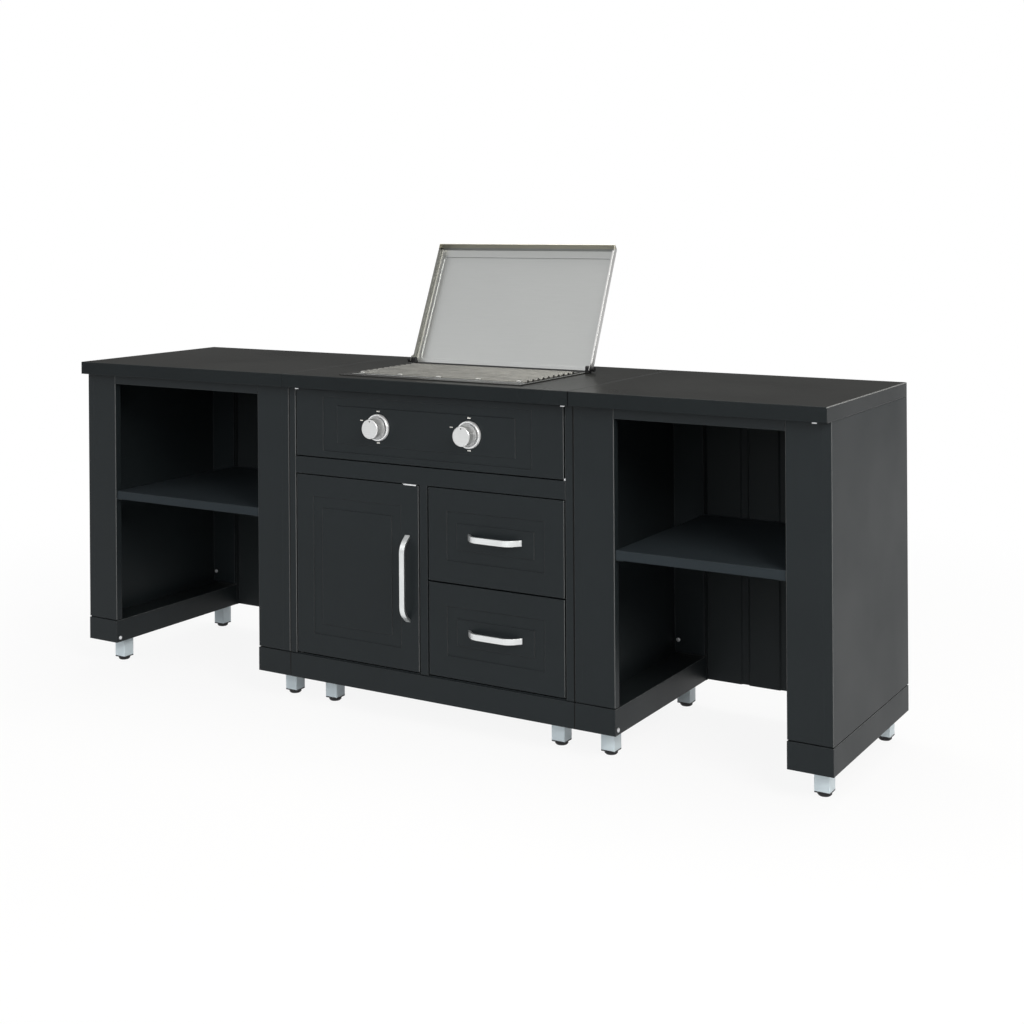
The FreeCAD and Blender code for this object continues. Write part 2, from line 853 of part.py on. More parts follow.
def knob_set():
    spread = size_of("knob_spread")
    level = size_of("knob_level")
    bezels = []
    valves = []
    for side, x in (("left", middle - spread), ("right", middle + spread)):
        bezels.append(bezel(side + "_bezel", x, level))
        valves.append(valve(side + "_valve", x, level))
        stem(side + "_valve_stem", x, level)
        knob(side + "_knob", x, level)
    group("knob_bezels", bezels)
    group("gas_valves", valves)


def bezel(name, x, level):
    """A dished ring round the knob, seen from the front as a bright band."""
    radius = size_of("bezel_radius")
    body = new_body(name)
    turned(body, "XY", [
        (12, 0),
        (12, -2),
        (radius - 10, -2),
        (radius - 9, -4),
        (radius - 4, -8),
        (radius - 2, -8.5),
        (radius, -5),
        (radius, 0),
    ])
    place(body, x, face, level)
    return body


def knob(name, x, level):
    """A tapered round knob with a hollow back, a flat face and a pointer dimple."""
    radius = size_of("knob_radius")
    front = size_of("knob_front")
    body = new_body(name)
    turned(body, "XY", [
        (0, -front),
        (radius - 3.5, -front),
        (radius - 2, -front + 1.5),
        (radius - 1, -16),
        (radius + 0.5, -11),
        (radius + 0.5, -9),
        (radius - 3, -9),
        (radius - 4.5, -front + 4),
        (8, -front + 4),
        (8, -12),
        (0, -12),
    ])
    pocket(body, "XZ", -front - 1, -front + 0.8, ("round", 0, radius - 8, 2))
    # bore with a flat on top, for the stem
    pocket(body, "XZ", -front + 8, -11, ("round", 0, 0, 3.05))
    pad(body, "XZ", -front + 8, -12, rect(-3.2, 3.2, 2.05, 4))
    place(body, x, face, level)
    return finish(body, name)


def stem(name, x, level):
    """The valve's turning shaft, with its flats at the knob end."""
    front = size_of("knob_front")
    body = new_body(name)
    turned(body, "XY", [(0, -front + 14), (3, -front + 14), (3, 2), (4, 2), (4, 34), (0, 34)])
    pocket(body, "XZ", -front + 13, -6, rect(-4, 4, 2, 4))
    place(body, x, face, level)
    return finish(body, name)


def valve(name, x, level):
    """A cast valve body with a bored nose, a saddle on the manifold and a gas nozzle."""
    body = new_body(name)
    casting = [
        (-13, -18),
        (13, -18),
        (15, -6),
        (15, 8),
        (9, 15),
        (-9, 15),
        (-15, 8),
        (-15, -6),
    ]
    pad(body, "XZ", 20, 44, casting)
    pad(body, "XZ", 12, 20, ("round", 0, 0, 9))
    pad(body, "XZ", 44, 50, ("round", 0, 7, 6))
    pad(body, "XZ", 50, 55, ("round", 0, 7, 3.5))
    pocket(body, "XZ", 11, 35, ("round", 0, 0, 4.05))
    pocket(body, "XZ", 51, 56, ("round", 0, 7, 1))
    place(body, x, face, level)
    return body


def gas_train():
    """The manifold tube with its inlet spigot, and the two burners behind the valves."""
    spread = size_of("knob_spread")
    level = size_of("knob_level")
    half = 10
    centre_y = face + 32
    top = level - 18
    body = new_body("gas_manifold")
    pad(body, "YZ", middle - spread - 90, middle + spread + 40,
        rect(centre_y - half, centre_y + half, top - 2 * half, top),
        rect(centre_y - half + skin, centre_y + half - skin, top - 2 * half + skin, top - skin))
    # closed tube ends
    cap = rect(centre_y - half + 1, centre_y + half - 1, top - 2 * half + 1, top - 1)
    for x in (middle - spread - 90, middle + spread + 38):
        pad(body, "YZ", x, x + skin, cap)
    inlet_x = middle - spread - 70
    pad(body, "XY", top - 2 * half - 8, top - 2 * half + 1, ("round", inlet_x, centre_y, 11))
    pad(body, "XY", top - 2 * half - 30, top - 2 * half - 8, ("round", inlet_x, centre_y, 8))
    pocket(body, "XY", top - 2 * half - 31, top - 2 * half + 3, ("round", inlet_x, centre_y, 4))
    # two brackets that hang the manifold on the firebox
    reach = firebox_front
    for x in (middle - 40, middle + 40):
        pad(body, "YZ", x - 8, x + 8, rect(centre_y + half - 1, reach, top - 12, top - 9))
        pad(body, "YZ", x - 8, x + 8, rect(reach - 3, reach, top - 12, top + 35))
    finish(body, "gas_manifold")

    burners = []
    probes = []
    for index, x in enumerate((middle - spread, middle + spread)):
        burners.append(burner("burner_%d" % index, x, level + 7))
        probes.append(electrode("electrode_%d" % index, x + 34, electrode_y))
    group("burners", burners)
    group("igniter_electrodes", probes)


def burner(name, x, mouth):
    """A tube burner: air mouth in front, a rising neck and a level run with rows of ports."""
    body = new_body(name)
    radius = 13
    run = size_of("plate_level") - 68
    start = face + 46
    bend = run - mouth
    end = firebox_back - thin
    path = body.newObject("Sketcher::SketchObject", "path")
    path.AttachmentSupport = (origin_item(body, "YZ_Plane"), [""])
    path.MapMode = "FlatFace"
    bind(path, "AttachmentOffset.Base.z", x)
    rise_from = firebox_front + 6
    knees = [(start, mouth), (rise_from, mouth), (rise_from + bend, run), (end, run)]
    spots = [FreeCAD.Vector(number(u), number(v), 0) for u, v in knees]
    path.addGeometry([Part.LineSegment(spots[i], spots[i + 1]) for i in range(3)], False)
    for i in range(2):
        path.addConstraint(Sketcher.Constraint("Coincident", i, 2, i + 1, 1))
        pin_point(path, i, 1, *knees[i])
    pin_point(path, 2, 1, *knees[2])
    pin_point(path, 2, 2, *knees[3])
    doc.recompute()
    section = new_sketch(body, "XZ", start, [("round", x, mouth, radius), ("round", x, mouth, radius - thin)])
    pipe = body.newObject("PartDesign::AdditivePipe", "tube")
    pipe.Profile = section
    pipe.Spine = (path, ["Edge1", "Edge2", "Edge3"])
    pipe.Transition = "Round corner"
    doc.recompute()
    # closed rear end and a row of ports on each side
    pad(body, "XZ", end - skin, end, ("round", x, run, radius - 0.5))
    first = rise_from + bend + 14
    ports = [rect(x - 1.5, x + 1.5, first + i * 14, first + i * 14 + 8) for i in range(13)]
    pocket(body, "XY", run + 4, run + radius + 2, *ports)
    return body


def electrode(name, x, y):
    """A ceramic spark electrode standing beside a burner."""
    body = new_body(name)
    floor = size_of("firebox_floor")
    turned(body, "XZ", [
        (0, -14),
        (3, -14),
        (3, 0),
        (7, 0),
        (7, 8),
        (4.5, 10),
        (4.5, 48),
        (1.2, 48),
        (1.2, 62),
        (0, 62),
    ])
    place(body, x, y, floor + thin)
    return body


# Griddle: firebox with rim, plate, grease tray

def griddle():
    half = size_of("griddle_width") / 2
    x0 = middle - half
    x1 = middle + half
    y0 = edge + size_of("griddle_front")
    y1 = edge + size_of("griddle_back")
    rim_top = worktop_top + size_of("rim_height")
    floor = size_of("firebox_floor")
    in0, in1, front_in, back_in = opening

    # firebox: one bent sheet from front flange to back flange, closed by two end plates
    shelf = worktop_top - 30
    body = new_body("firebox")
    pad(body, "YZ", in0, in1, [
        (front_in - thin, worktop_top),
        (front_in - thin, shelf),
        (firebox_front, shelf),
        (firebox_front, floor),
        (firebox_back, floor),
        (firebox_back, worktop_top),
        (firebox_back - thin, worktop_top),
        (firebox_back - thin, floor + thin),
        (firebox_front + thin, floor + thin),
        (firebox_front + thin, shelf + thin),
        (front_in, shelf + thin),
        (front_in, worktop_top),
    ])
    ends = [
        (front_in - thin, worktop_top),
        (front_in - thin, shelf),
        (firebox_front, shelf),
        (firebox_front, floor),
        (firebox_back, floor),
        (firebox_back, worktop_top),
    ]
    pad(body, "YZ", in0 - thin, in0, ends)
    pad(body, "YZ", in1, in1 + thin, ends)
    # ledges that carry the plate, and the wall between the trough and the burners
    ledge = size_of("plate_level")
    pad(body, "XY", ledge - thin, ledge, rect(in0 - thin / 2, in0 + 22, firebox_front, firebox_back))
    pad(body, "XY", ledge - thin, ledge, rect(in1 - 22, in1 + thin / 2, firebox_front, firebox_back))
    pad(body, "YZ", in0 - thin / 2, in1 + thin / 2, rect(firebox_front, firebox_front + thin, shelf, ledge))
    # raised trim frame on the worktop, hollow underneath
    pad(body, "XY", worktop_top, rim_top, rect(x0, x1, y0, y1), rect(in0, in1, front_in, back_in))
    fillet(body, 1.5, lambda at, way: near(at.z, rim_top) and (near(at.x, x0) or near(at.x, x1)
                                                               or near(at.y, y0) or near(at.y, y1)))
    pocket(body, "XY", worktop_top - 0.5, rim_top - thin,
           rect(x0 + thin, x1 - thin, y0 + thin, y1 - thin),
           rect(in0 - 2 * thin, in1 + 2 * thin, front_in - 2 * thin, back_in + 2 * thin))
    # holes for the burner mouths and slots for air
    level = size_of("knob_level") + 7
    spread = size_of("knob_spread")
    pocket(body, "XZ", firebox_front - 1, firebox_front + 3,
           ("round", middle - spread, level, 13.2), ("round", middle + spread, level, 13.2))
    slots = []
    for i in range(-4, 5):
        at = middle + i * 50
        slots.append(rect(at - 15, at + 15, firebox_back - 60, firebox_back - 50))
    pocket(body, "XY", floor - 1, floor + 3, *slots)
    seats = [("round", middle + side * spread + 34, electrode_y, 3.1) for side in (-1, 1)]
    pocket(body, "XY", floor - 1, floor + 3, *seats)
    finish(body, "firebox")
    plate(in0, in1)
    grease_tray(in0, in1, front_in, shelf)


def plate(in0, in1):
    """The cooking plate: a thick sheet with ridges along X and pouring lugs over the trough."""
    level = size_of("plate_level")
    x0 = in0 + 12
    x1 = in1 - 12
    y0 = firebox_front - 8
    y1 = firebox_back - 6
    body = new_body("griddle_plate")
    top = level + 6
    count = 10
    pitch = (y1 - y0 - 16) / count
    ridge = 4
    # the front edge is cut under, over the trough
    outline = [(y0, top - 0.5), (y0 + 7, level), (y1, level), (y1, top)]
    for i in reversed(range(count)):
        at = y0 + 12 + i * pitch
        outline += [(at + 14, top), (at + 10, top + ridge), (at + 4, top + ridge), (at, top)]
    outline += [(y0, top)]
    pad(body, "YZ", x0, x1, outline)
    for i in (-2, -1, 0, 1, 2):
        at = middle + i * 125
        pad(body, "XY", top - 1, top + 3, rect(at - 6, at + 6, y0 - 2, y0 + 6))
    return finish(body, "griddle_plate")


def grease_tray(in0, in1, front_in, shelf):
    """A long narrow pan in front of the plate. It lifts straight out."""
    body = new_body("grease_tray")
    x0 = in0 + 3
    x1 = in1 - 3
    y0 = front_in + 1
    y1 = firebox_front - 11
    low = shelf + thin
    high = worktop_top + 2
    pad(body, "XY", low, low + thin, rect(x0, x1, y0, y1))
    pad(body, "XY", low + thin, high, rect(x0, x1, y0, y1), rect(x0 + thin, x1 - thin, y0 + thin, y1 - thin))
    return finish(body, "grease_tray")


# Lid

def lid():
    """A folded lid with a pressed field, shown open. It is drawn upright, then leant back."""
    half = size_of("lid_width") / 2
    length = size_of("lid_length")
    drop = size_of("lid_depth")
    press = size_of("lid_press")
    corner = size_of("lid_corner")
    body = new_body("lid")
    # side view of the whole lid: the front wall slopes out to a tip, the cheeks end in hinge ears
    tip = (-1, length + 11)
    outside = [
        (drop + thin, 2),
        (drop + thin, length + 0.7),
        (-0.4, length + 12.1),
        tip,
        (0, length - 5),
        (0, 16),
        (-9, 9),
        (-9, -7),
        (7, -7),
    ]
    pad(body, "YZ", -half, half, outside)
    inside = [
        (drop, -10),
        (drop, length),
        tip,
        (tip[0] - 4, tip[1] + 2),
        (-20, tip[1] + 2),
        (-20, -10),
    ]
    pocket(body, "YZ", -half + thin, half - thin, inside)
    fillet(body, corner, lambda at, way: abs(way.z) > 0.9 and near(at.y, drop))
    fillet(body, corner + thin, lambda at, way: abs(way.z) > 0.9 and near(at.y, drop + thin))
    # field pressed outwards, with soft corners and edges
    border = 14
    inner = half - border
    outer = inner + thin
    field = rect(-inner, inner, 12, length - 22)
    behind = rect(-outer, outer, 12 - thin, length - 22 + thin)
    pad(body, "XZ", drop + thin / 2, drop + thin + press, behind)
    pocket(body, "XZ", drop - 1, drop + press, field)
    fillet(body, 12, lambda at, way: abs(way.y) > 0.9 and near(abs(at.x), inner))
    fillet(body, 12 + thin, lambda at, way: abs(way.y) > 0.9 and near(abs(at.x), outer))
    fillet(body, 1.3, lambda at, way: near(at.y, drop) and near(abs(at.x), inner))
    fillet(body, 1.3, lambda at, way: near(at.y, drop + thin + press) and near(abs(at.x), outer))
    # hems along the edges of the cheeks
    hem = 6
    for low in (-half, half - hem):
        pad(body, "XZ", 0, thin, rect(low, low + hem, 16, length - 5))
    fillet(body, 0.9, lambda at, way: abs(way.z) > 0.9 and near(at.y, 0) and near(abs(at.x), half))
    pocket(body, "YZ", -half - 1, half + 1, ("round", 0, 0, 4.05))
    pivot_y = edge + size_of("pivot_back")
    place(body, middle, pivot_y, size_of("pivot_level"))
    lean = FreeCAD.Rotation(FreeCAD.Vector(1, 0, 0), -SIZES["lid_lean"])
    body.Placement = FreeCAD.Placement(body.Placement.Base, lean)
    finish(body, "lid")

    # two brackets behind the trim frame, each with a headed pin through a cheek
    level = size_of("pivot_level")
    hinges = []
    for index, side in enumerate((-1, 1)):
        body = new_body("lid_hinge_%d" % index)
        ends = (middle + side * (half - 14), middle + side * (half - 2))
        low, high = ends if side > 0 else (ends[1], ends[0])
        pad(body, "YZ", low, high, [
            (pivot_y - 6, worktop_top),
            (pivot_y + 8, worktop_top),
            (pivot_y + 8, level + 3),
            (pivot_y + 3, level + 8),
            (pivot_y - 3, level + 8),
            (pivot_y - 6, level + 5),
        ])
        ends = (middle + side * (half - 3), middle + side * (half + 1))
        low, high = ends if side > 0 else (ends[1], ends[0])
        pad(body, "YZ", low, high, ("round", pivot_y, level, 4))
        ends = (middle + side * (half + 0.5), middle + side * (half + 12))
        low, high = ends if side > 0 else (ends[1], ends[0])
        pad(body, "YZ", low, high, ("round", pivot_y, level, 7))
        hinges.append(body)
    return group("lid_hinges", hinges)


# Fasteners that show

def button_screw(name, x, y, z, axis, s):
    """A button-head screw. Its head stands out along s times the axis."""
    body = new_body(name)
    plane = {"X": "YZ", "Y": "XZ", "Z": "XY"}[axis]
    spot = {"X": (y, z), "Y": (x, z), "Z": (x, y)}[axis]
    at = {"X": x, "Y": y, "Z": z}[axis]
    shank = (at - s * 8, at)
    head = (at, at + s * 2.4)
    crown = (at + s * 2.4, at + s * 3.4)
    for (a, b), radius in ((shank, 2.5), (head, 5.5), (crown, 4)):
        low, high = (a, b) if s > 0 else (b, a)
        pad(body, plane, low, high, ("round", spot[0], spot[1], radius))
    return body


def screws():
    made = []
    for x0, x1 in ((left_end, left_seam), (right_seam, right_end)):
        for x, s in ((x0 + wall, 1), (x1 - wall, -1)):
            made.append(button_screw("plinth_screw", x, plinth_screw[0], plinth_screw[1], "X", s))
        for x in (x0 + bolt_in, x1 - bolt_in):
            made.append(button_screw("joint_bolt", x, back - size_of("back_stile"), bolt_level, "Y", -1))
    group("cabinet_screws", made)


# Places that more than one piece shares
frame_half = size_of("griddle_width") / 2
opening = (
    middle - frame_half + 10,
    middle + frame_half - 10,
    edge + size_of("griddle_front") + size_of("griddle_ledge"),
    edge + size_of("griddle_back") - 10,
)
cutout = (
    middle - frame_half + 6,
    middle + frame_half - 6,
    edge + size_of("griddle_front") + 8,
    edge + size_of("griddle_back") - 6,
)
firebox_front = opening[2] + size_of("trough_width")
firebox_back = opening[3] + thin
electrode_y = face + 150
hinge_line = (left_seam + strip + gap + 10, face + 9)
plinth_screw = (face + 13, plinth_bottom + 13)
bolt_in = size_of("liner_inset") + 12
bolt_level = plinth_top + 34

worktops()
side_cabinet("left", left_end, left_seam, 4)
side_cabinet("right", right_seam, right_end, 3)
centre_carcass()
control_panel()
door()
drawers()
knob_set()
gas_train()
griddle()
lid()
screws()

doc.recompute()
for thing in doc.Objects:
    if "Invalid" in thing.State or "Error" in thing.State:
        raise RuntimeError("failed: " + thing.Name + " " + thing.Label)
os.makedirs("parts", exist_ok=True)
for thing in nodes:
    shape = thing.Shape
    if shape.isNull() or not shape.isValid():
        raise RuntimeError("bad shape: " + thing.Label)
    shape.exportStep("parts/%s.step" % thing.Label)
print(len(nodes), "nodes")
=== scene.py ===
import json
import math

import bmesh
import bpy
from mathutils import Matrix, Vector


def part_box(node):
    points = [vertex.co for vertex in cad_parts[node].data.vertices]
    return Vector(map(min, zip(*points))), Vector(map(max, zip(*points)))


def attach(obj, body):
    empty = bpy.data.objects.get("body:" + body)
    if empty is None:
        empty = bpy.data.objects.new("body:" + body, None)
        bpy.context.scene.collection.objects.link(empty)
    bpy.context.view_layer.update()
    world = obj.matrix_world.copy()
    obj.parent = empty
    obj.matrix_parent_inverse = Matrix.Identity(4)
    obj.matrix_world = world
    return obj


# Outdoor gas griddle station: finishes, small fittings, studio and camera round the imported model.

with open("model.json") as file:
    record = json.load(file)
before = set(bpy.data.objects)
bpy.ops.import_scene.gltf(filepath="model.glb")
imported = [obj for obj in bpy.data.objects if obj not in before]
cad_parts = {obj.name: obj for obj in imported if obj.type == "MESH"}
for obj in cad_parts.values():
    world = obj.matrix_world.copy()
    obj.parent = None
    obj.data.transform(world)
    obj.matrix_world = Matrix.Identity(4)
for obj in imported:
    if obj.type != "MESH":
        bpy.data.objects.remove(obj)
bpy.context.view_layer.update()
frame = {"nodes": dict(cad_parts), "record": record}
cad = frame["nodes"]


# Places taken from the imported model

SIDES = ("left", "right")
PANEL_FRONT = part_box("control_panel")[0].y
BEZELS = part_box("knob_bezels")
KNOBS = {side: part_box(side + "_knob") for side in SIDES}
KNOB_Z = (BEZELS[0].z + BEZELS[1].z) / 2
KNOB_X = {side: (low.x + high.x) / 2 for side, (low, high) in KNOBS.items()}


# Small helpers for shader nodes

def add_node(tree, kind, **settings):
    """A shader node of one kind with its settings."""
    node = tree.nodes.new("ShaderNode" + kind)
    for key, value in settings.items():
        setattr(node, key, value)
    return node


def plug(tree, value, socket):
    """Links a socket, or sets a plain value."""
    if hasattr(value, "is_linked"):
        tree.links.new(value, socket)
    else:
        socket.default_value = value


def math_node(tree, operation, *values):
    """A maths node on numbers and sockets."""
    node = add_node(tree, "Math", operation=operation)
    for value, socket in zip(values, node.inputs):
        plug(tree, value, socket)
    return node.outputs[0]


def map_range(tree, value, start, end, to_start=0.0, to_end=1.0, **settings):
    """Turns the range from start to end into another one, and stops at its ends."""
    node = add_node(tree, "MapRange", **settings)
    plug(tree, value, node.inputs["Value"])
    plug(tree, start, node.inputs["From Min"])
    plug(tree, end, node.inputs["From Max"])
    plug(tree, to_start, node.inputs["To Min"])
    plug(tree, to_end, node.inputs["To Max"])
    return node.outputs["Result"]


def axes_of(tree, vector):
    """The X, Y and Z of a vector."""
    split = add_node(tree, "SeparateXYZ")
    tree.links.new(vector, split.inputs[0])
    return split.outputs


def object_place(tree):
    """The place on the object. A CAD piece's own frame is the shared frame."""
    return add_node(tree, "TexCoord").outputs["Object"]


def mix_colour(tree, factor, under, over, blend="MIX"):
    """A plain colour over another colour, by a factor."""
    node = add_node(tree, "Mix", data_type="RGBA", blend_type=blend)
    tree.links.new(factor, node.inputs["Factor"])
    tree.links.new(under, node.inputs["A"])
    node.inputs["B"].default_value = (*over, 1)
    return node.outputs["Result"]


def mix_shaders(tree, share, first, second):
    """The first shader, and as much of the second as the share says."""
    node = add_node(tree, "MixShader")
    for value, socket in zip((share, first, second), node.inputs):
        tree.links.new(value, socket)
    return node.outputs[0]


def noise(tree, vector, scale, detail=3.0, roughness=0.5):
    """The mask of a noise texture on a vector, with its scale from a number or a socket."""
    node = add_node(tree, "TexNoise")
    node.inputs["Detail"].default_value = detail
    node.inputs["Roughness"].default_value = roughness
    tree.links.new(vector, node.inputs["Vector"])
    plug(tree, scale, node.inputs["Scale"])
    return node.outputs["Fac"]


# Most of a noise mask lies between these two values
NOISE_LOW = 0.3
NOISE_HIGH = 0.7


def spread_noise(tree, mask, low, high):
    """Spreads the middle of a noise mask over low to high."""
    return map_range(tree, mask, NOISE_LOW, NOISE_HIGH, low, high)


# Shader groups that several finishes share

def new_group(name, inputs, outputs):
    """An empty node group with float inputs {name: default} and outputs {name: type}."""
    group = bpy.data.node_groups.new(name, "ShaderNodeTree")
    for label, default in inputs.items():
        socket = group.interface.new_socket(name=label, in_out="INPUT", socket_type="NodeSocketFloat")
        socket.default_value = default
    for label, kind in outputs.items():
        group.interface.new_socket(name=label, in_out="OUTPUT", socket_type="NodeSocket" + kind)
    return group, group.nodes.new("NodeGroupInput"), group.nodes.new("NodeGroupOutput")


def build_coat_texture():
    """Orange peel of a powder coat: a fine height, a soft mask of uneven gloss and a dust mask."""
    group, given, result = new_group(
        "coat_texture",
        {"Grain": 900.0, "Dust": 0.1},
        {"Height": "Float", "Gloss": "Float", "Dust": "Float"},
    )
    place = object_place(group)
    fine = noise(group, place, given.outputs["Grain"], detail=2.0)
    cloud = noise(group, place, 3.2, detail=4.0)
    # dust settles where a face looks up
    normal = add_node(group, "NewGeometry").outputs["Normal"]
    upward = math_node(group, "MAXIMUM", axes_of(group, normal)["Z"], 0.0)
    speckle = noise(group, place, 38.0, detail=5.0, roughness=0.7)
    dusty = math_node(group, "MULTIPLY", upward, spread_noise(group, speckle, 0.0, 1.0))
    dust = math_node(group, "MULTIPLY", dusty, given.outputs["Dust"])
    group.links.new(fine, result.inputs["Height"])
    group.links.new(cloud, result.inputs["Gloss"])
    group.links.new(dust, result.inputs["Dust"])
    return group


def build_brushed_grain():
    """Brush marks that run along X, Y or Z: a streak mask and a slow smudge mask."""
    group, given, result = new_group(
        "brushed_grain",
        {"Along X": 1.0, "Along Y": 60.0, "Along Z": 60.0},
        {"Streak": "Float", "Smudge": "Float"},
    )
    place = object_place(group)
    stretch = add_node(group, "CombineXYZ")
    for axis, socket in zip("XYZ", stretch.inputs):
        group.links.new(given.outputs["Along " + axis], socket)
    scaled = add_node(group, "VectorMath", operation="MULTIPLY")
    group.links.new(place, scaled.inputs[0])
    group.links.new(stretch.outputs[0], scaled.inputs[1])
    streak = noise(group, scaled.outputs[0], 14.0, detail=4.0, roughness=0.65)
    smudge = noise(group, place, 7.0)
    group.links.new(streak, result.inputs["Streak"])
    group.links.new(smudge, result.inputs["Smudge"])
    return group


def build_sheet_edge():
    """The radius of a folded sheet: a normal that turns round each edge, and a mask of the edges.

    Round bends are masked in full and sharp edges by the share Sharp. The mask carries a painted highlight:
    upright edges and edges that run to the back get the most, edges that run from left to right hardly any.
    """
    sharp_start, sharp_end = 0.07, 0.16
    bend_start, bend_end = 0.99, 0.90
    side_share, least_share = 1.2, 0.05
    group, given, result = new_group(
        "sheet_edge",
        {"Radius": 0.0018, "Sharp": 0.25},
        {"Normal": "Vector", "Edge": "Float"},
    )
    bevel = add_node(group, "Bevel", samples=6)
    group.links.new(given.outputs["Radius"], bevel.inputs["Radius"])
    rounded = bevel.outputs["Normal"]
    flat = add_node(group, "NewGeometry").outputs["True Normal"]
    # near a sharp edge the rounded normal turns away from the face
    facing = add_node(group, "VectorMath", operation="DOT_PRODUCT")
    group.links.new(rounded, facing.inputs[0])
    group.links.new(flat, facing.inputs[1])
    turned = math_node(group, "SUBTRACT", 1.0, facing.outputs["Value"])
    near_edge = map_range(group, turned, sharp_start, sharp_end)
    sharp = math_node(group, "MULTIPLY", near_edge, given.outputs["Sharp"])
    # a bend's normal lies between the three directions of the flat faces
    steepest = 0.0
    for direction in axes_of(group, flat):
        steepest = math_node(group, "MAXIMUM", math_node(group, "ABSOLUTE", direction), steepest)
    bend = map_range(group, steepest, bend_start, bend_end)
    # painted highlight: edges whose rounding turns to the sides get the most of it, as if lit from the side
    sideways = math_node(group, "ABSOLUTE", axes_of(group, rounded)["X"])
    share = math_node(group, "MULTIPLY_ADD", sideways, side_share, least_share)
    edge = math_node(group, "MULTIPLY", math_node(group, "MAXIMUM", bend, sharp), share)
    group.links.new(rounded, result.inputs["Normal"])
    group.links.new(edge, result.inputs["Edge"])
    return group


coat_texture = build_coat_texture()
brushed_grain = build_brushed_grain()
sheet_edge = build_sheet_edge()


# Kinds of finish

DUST_COLOUR = (0.35, 0.34, 0.31)
# colour of the painted highlight along the sheet edges
EDGE_HIGHLIGHT_COLOUR = (0.44, 0.45, 0.45)
COAT_FOLD = 0.0035
PEEL_DEPTH = 0.0002
CLOUDING = 0.07
GLOSSIER = 0.04
DULLER = 0.05
ACROSS_MARKS = 60.0
SMUDGE_GLOSS = -0.02
SMUDGE_DULL = 0.03


def new_finish(name, metallic, specular):
    """A new material, its nodes and its Principled shader."""
    material = bpy.data.materials.new(name)
    material.use_nodes = True
    tree = material.node_tree
    shader = tree.nodes["Principled BSDF"]
    shader.inputs["Metallic"].default_value = metallic
    shader.inputs["Specular IOR Level"].default_value = specular
    return material, tree, shader


def tinted(tree, mask, colour, contrast):
    """A colour that gets darker and lighter with a noise mask."""
    node = add_node(tree, "ValToRGB")
    stops = ((NOISE_LOW, 1 - contrast), (NOISE_HIGH, 1 + contrast))
    for element, (position, factor) in zip(node.color_ramp.elements, stops):
        element.position = position
        element.color = (*(min(1.0, channel * factor) for channel in colour), 1)
    tree.links.new(mask, node.inputs[0])
    return node.outputs[0]


def bumped(tree, shader, normal, height, distance, strength):
    """Fine relief on top of a given normal."""
    bump = add_node(tree, "Bump")
    bump.inputs["Strength"].default_value = strength
    bump.inputs["Distance"].default_value = distance
    tree.links.new(height, bump.inputs["Height"])
    tree.links.new(normal, bump.inputs["Normal"])
    tree.links.new(bump.outputs["Normal"], shader.inputs["Normal"])


def powder_coat(name, colour, rough, grain=900.0, dust=0.05, specular=0.3, peel=0.5, edge_highlight=0.0, sharp=0.25):
    """A baked powder coat: faint clouding, fine orange peel, a little dust and a painted highlight along its
    edges.
    """
    material, tree, shader = new_finish(name, 0.0, specular)
    texture = add_node(tree, "Group", node_tree=coat_texture)
    texture.inputs["Grain"].default_value = grain
    texture.inputs["Dust"].default_value = dust
    edge = add_node(tree, "Group", node_tree=sheet_edge)
    edge.inputs["Radius"].default_value = COAT_FOLD
    edge.inputs["Sharp"].default_value = sharp
    clouds = texture.outputs["Gloss"]
    base = tinted(tree, clouds, colour, CLOUDING)
    dusty = mix_colour(tree, texture.outputs["Dust"], base, DUST_COLOUR)
    # painted highlight along the edges, mixed over the coat
    painted_highlight = math_node(tree, "MULTIPLY", edge.outputs["Edge"], edge_highlight)
    tree.links.new(mix_colour(tree, painted_highlight, dusty, EDGE_HIGHLIGHT_COLOUR), shader.inputs["Base Color"])
    tree.links.new(spread_noise(tree, clouds, rough - GLOSSIER, rough + DULLER), shader.inputs["Roughness"])
    bumped(tree, shader, edge.outputs["Normal"], texture.outputs["Height"], PEEL_DEPTH, peel)
    return material


def brushed_metal(name, colour, rough, along, spread=0.10, contrast=0.08, strength=0.35,
                  relief=0.00006, fold=0.0018, metallic=1.0):
    """Bare metal with brush marks along one axis or two, and faint smudges."""
    material, tree, shader = new_finish(name, metallic, 0.5)
    grain = add_node(tree, "Group", node_tree=brushed_grain)
    for axis in "XYZ":
        grain.inputs["Along " + axis].default_value = 1.0 if axis in along else ACROSS_MARKS
    edge = add_node(tree, "Group", node_tree=sheet_edge)
    edge.inputs["Radius"].default_value = fold
    marks = grain.outputs["Streak"]
    tree.links.new(tinted(tree, marks, colour, contrast), shader.inputs["Base Color"])
    streaked = spread_noise(tree, marks, rough - spread / 2, rough + spread / 2)
    smudged = spread_noise(tree, grain.outputs["Smudge"], SMUDGE_GLOSS, SMUDGE_DULL)
    tree.links.new(math_node(tree, "ADD", streaked, smudged), shader.inputs["Roughness"])
    bumped(tree, shader, edge.outputs["Normal"], marks, relief, strength)
    return material


def moulded(name, colour, rough, specular=0.4):
    """A moulded plastic, rubber or ceramic with a fine tooled surface."""
    return powder_coat(name, colour, rough, grain=1400.0, dust=0.02, specular=specular, peel=0.3)


# Finishes of the pieces

CHARCOAL = (0.0110, 0.0144, 0.0162)
WORKTOP_BLACK = (0.0122, 0.0150, 0.0163)

